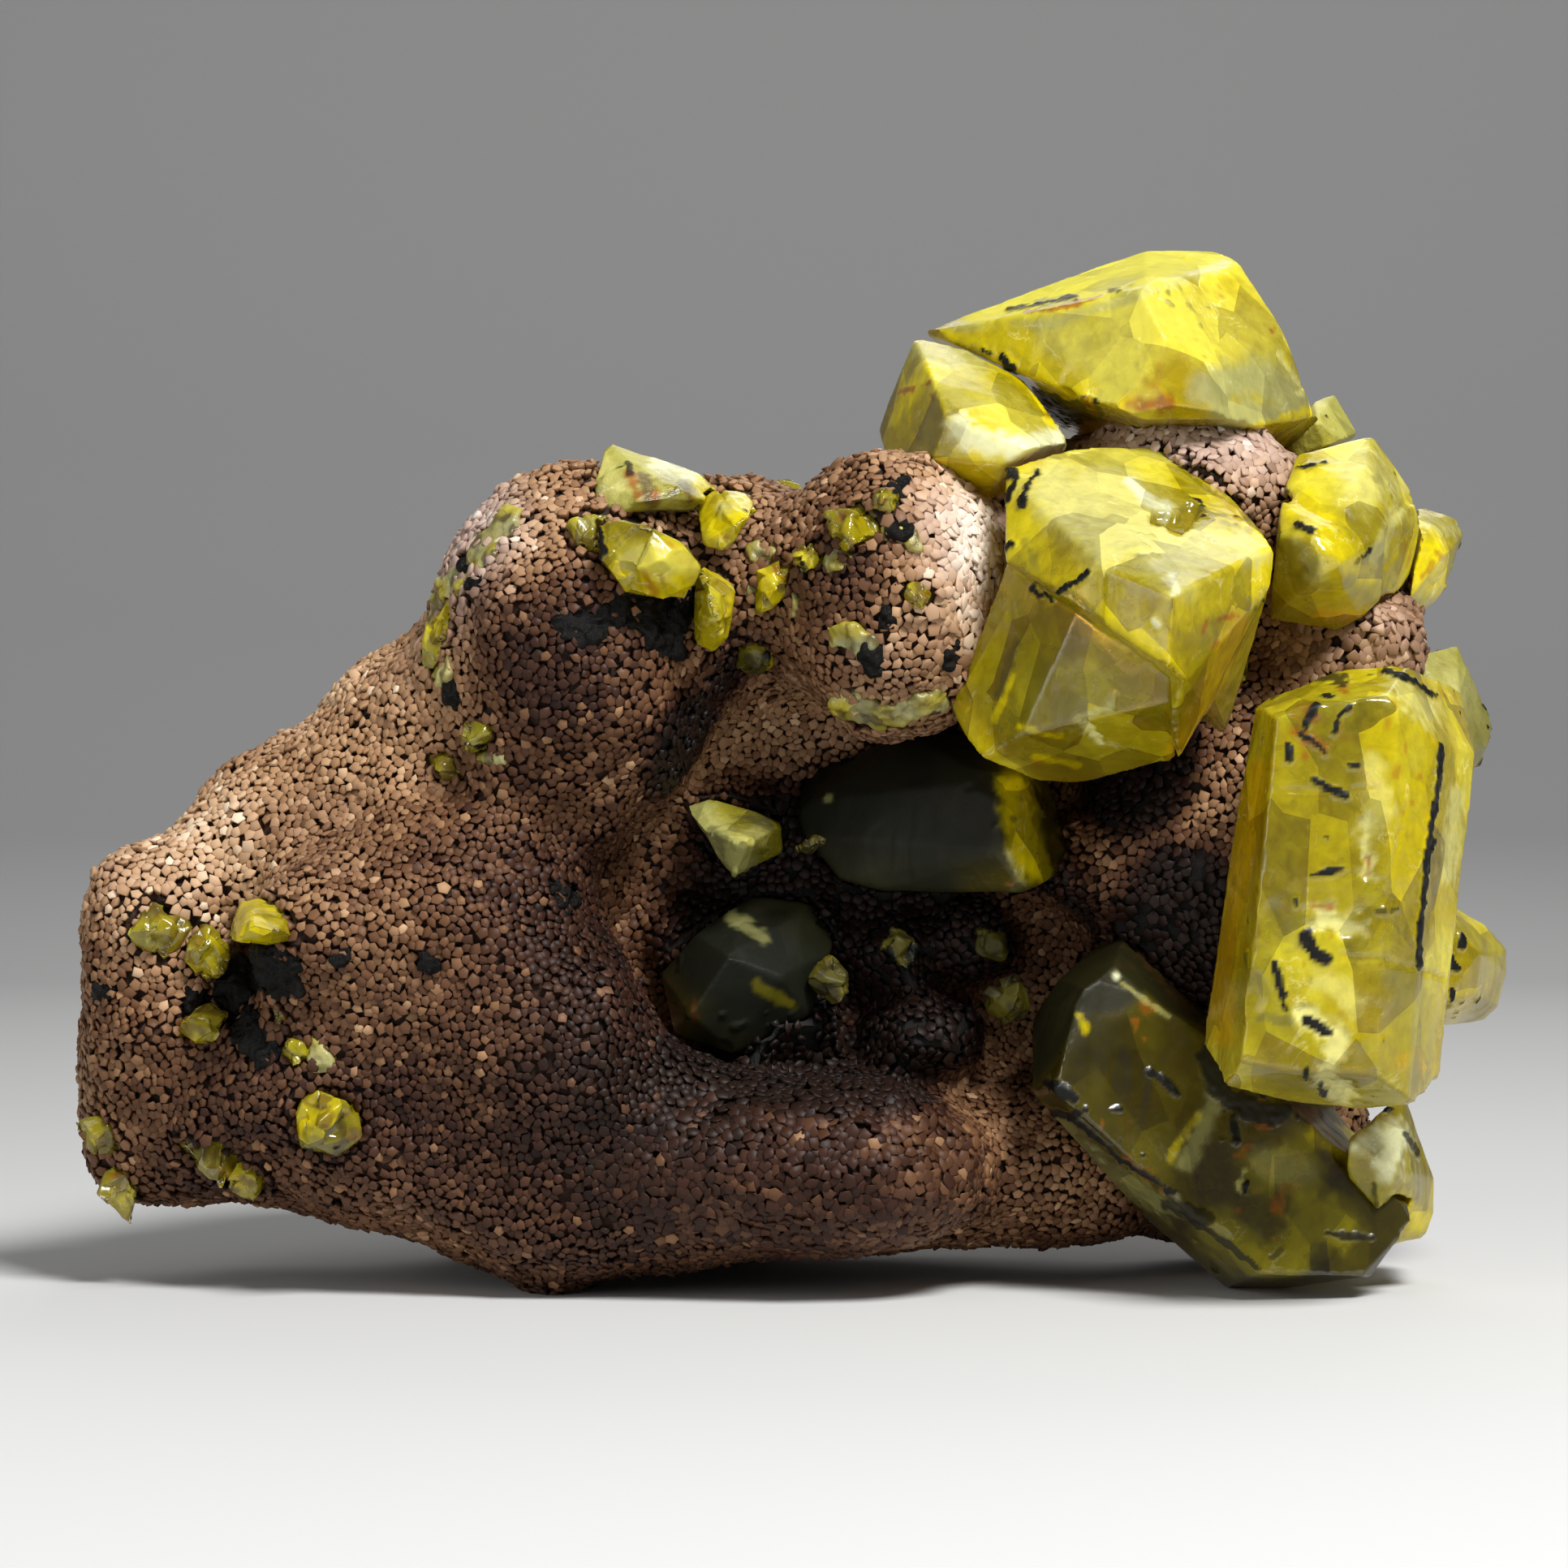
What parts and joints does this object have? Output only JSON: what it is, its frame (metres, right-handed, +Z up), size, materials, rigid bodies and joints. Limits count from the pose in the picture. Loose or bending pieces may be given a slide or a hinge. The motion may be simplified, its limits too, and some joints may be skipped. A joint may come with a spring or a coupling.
{
  "type": "sulfur crystal specimen",
  "caption": "Natural cluster of yellow sulfur crystals on a lumpy brown matrix coated with aragonite grains, standing on the worn underside of the matrix.",
  "frame": {"origin": "centre of the bounding box seen from above, at the height of the surface it stands on", "axes": "+Z up as it stands, -Y towards the side that carries the large crystals, +X to the right as seen from that side"},
  "size_m": [0.133, 0.0732, 0.0962],
  "materials": {
    "matrix": "rough, coated with small tan to brown grains",
    "sulfur": "vitreous, see-through yellow with milky parts",
    "sulfur_amber": "vitreous, see-through dark olive to amber",
    "sulfur_frosted": "frosted, pale greenish yellow",
    "bitumen": "satin black"
  },
  "bodies": {
    "root": {"crystal_centre": "sulfur", "crystal_long": "sulfur", "crystal_top": "sulfur", "crystal_tooth": "sulfur", "crystal_cluster": "sulfur", "crystal_edge": "sulfur", "crystal_low": "sulfur_amber", "crystal_low_right": "sulfur", "crystal_far": "sulfur", "crystal_frosted_top": "sulfur_frosted", "crystal_frosted_right": "sulfur_frosted", "crystal_hollow": "sulfur_amber", "crystal_hollow_low": "sulfur_amber", "crystal_hollow_left": "sulfur_frosted", "crystal_ridge": "sulfur", "crystal_ridge_block": "sulfur", "crystal_ridge_hood": "sulfur_frosted", "crystal_ridge_hook": "sulfur", "crystal_left_bright": "sulfur", "crystal_ridge_left": "sulfur", "crystal_ridge_middle": "sulfur", "crystal_ridge_low": "sulfur", "crystal_ridge_flake": "sulfur", "crystal_brow_green": "sulfur", "crystal_brow_clear": "sulfur", "crystal_brow_dark": "sulfur", "crystal_skyline": "sulfur", "crystal_shoulder_plate": "sulfur", "crystal_shoulder_low": "sulfur", "crystal_shoulder_chip": "sulfur", "crystal_left_upper": "sulfur", "crystal_left_curved": "sulfur", "crystal_left_grey": "sulfur", "crystal_left_cube": "sulfur", "crystal_left_big": "sulfur", "crystal_left_edge": "sulfur", "crystal_left_pebble": "sulfur", "crystal_left_bottom": "sulfur", "crystal_left_chip": "sulfur", "crystal_left_chip_upper": "sulfur", "crystal_hollow_chip": "sulfur", "crystal_hollow_green": "sulfur", "crystal_hollow_bright": "sulfur", "crystal_hollow_amber": "sulfur", "crystal_hollow_flake": "sulfur", "crystal_under_cluster": "sulfur", "bitumen_lump": "bitumen", "matrix": "matrix"}
  },
  "joints": []
}
